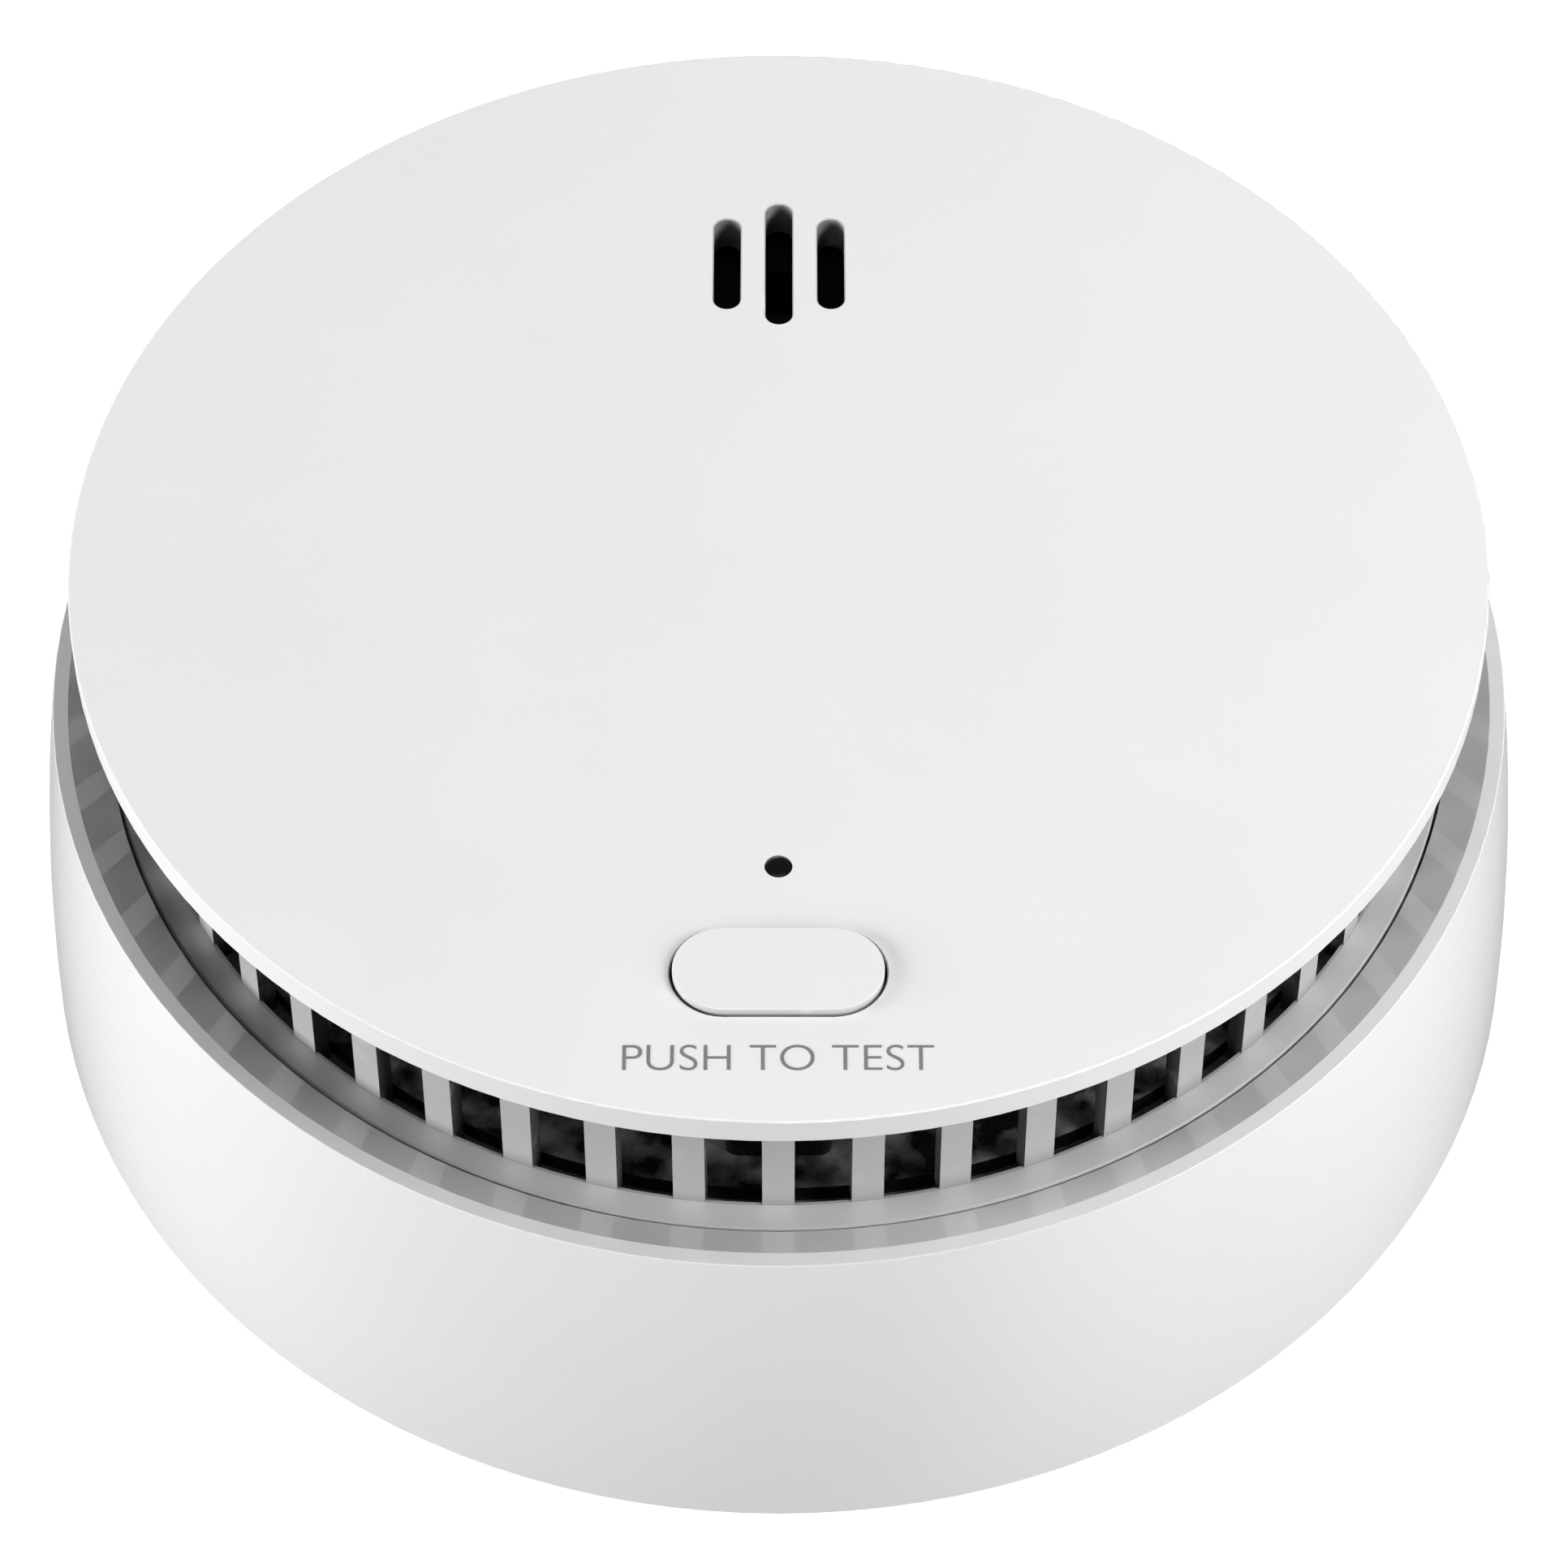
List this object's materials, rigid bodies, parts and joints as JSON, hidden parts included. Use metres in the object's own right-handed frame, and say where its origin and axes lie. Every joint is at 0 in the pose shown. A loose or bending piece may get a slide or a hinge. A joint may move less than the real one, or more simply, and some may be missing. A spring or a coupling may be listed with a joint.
{
  "type": "smoke detector",
  "caption": "Round ceiling smoke detector: flat front cover with test button, indicator and sounder slots over a ring of vents, on a twist-lock mounting bracket.",
  "frame": {"origin": "centre of the bracket's back face, on the ceiling plane", "axes": "+Z from the ceiling to the face, -Y towards the test button, +X to the right of the face"},
  "size_m": [0.12, 0.12, 0.0455],
  "materials": {
    "white_shell": "satin moulded white plastic",
    "white_vent": "satin moulded white plastic, a shade greyer",
    "white_cover": "smooth satin white plastic",
    "white_button": "smooth satin white plastic",
    "white_bracket": "fine moulded texture",
    "black_frame": "semi-gloss black plastic",
    "optic_black": "matt light-absorbing black plastic",
    "screen_steel": "dark etched steel mesh",
    "board_laminate": "green solder mask",
    "chip_epoxy": "moulded epoxy with tinned leads",
    "coil_ferrite": "ferrite drum with copper winding",
    "capacitor_can": "sleeved aluminium can",
    "smoked_acrylic": "dark tinted acrylic",
    "led_package": "white package with a clear lens",
    "ir_epoxy": "tinted clear epoxy",
    "diode_epoxy": "near-black filter epoxy",
    "piezo_brass": "rolled brass with a ceramic disc",
    "pin_gold": "gold-plated spring pins",
    "gasket_foam": "closed-cell foam",
    "cell_can": "sleeved lithium cell",
    "nickel_strip": "bright nickel strip",
    "screw_steel": "zinc-plated steel"
  },
  "bodies": {
    "bracket": {"mounting_bracket": "white_bracket"},
    "detector": {"rear_cover": "white_bracket", "body_shell": "white_shell", "vent_ring": "white_vent", "front_cover": "white_cover", "inner_frame": "black_frame", "circuit_board": "board_laminate", "switch_body": "chip_epoxy", "status_led": "led_package", "light_pipe": "smoked_acrylic", "chamber_base": "optic_black", "chamber_cover": "optic_black", "insect_screen": "screen_steel", "ir_emitter": "ir_epoxy", "photodiode": "diode_epoxy", "sounder_case": "optic_black", "piezo_disc": "piezo_brass", "sounder_gasket": "gasket_foam", "sounder_pins": "pin_gold", "battery_cell": "cell_can", "battery_tabs": "nickel_strip", "controller_chip": "chip_epoxy", "driver_chip": "chip_epoxy", "boost_coil": "coil_ferrite", "filter_capacitor": "capacitor_can", "housing_screws": "screw_steel", "board_screws": "screw_steel"},
    "button": {"test_button": "white_button"},
    "plunger": {"switch_plunger": "black_frame"}
  },
  "joints": [
    {"name": "body_twist", "type": "hinge", "parent": "bracket", "child": "detector", "pos_m": [0, 0, 0.003], "axis": [0, 0, 1], "range_deg": [0, 20]},
    {"name": "button_press", "type": "slide", "parent": "detector", "child": "button", "axis": [0, 0, -1], "range_m": [0, 0.0005], "stiffness_N_per_m": 2000, "springref_m": -0.0004},
    {"name": "plunger_press", "type": "slide", "parent": "detector", "child": "plunger", "axis": [0, 0, -1], "range_m": [0, 0.0005]}
  ],
  "couplings": [
    {"joint": "plunger_press", "follows": "button_press", "ratio": 1}
  ]
}
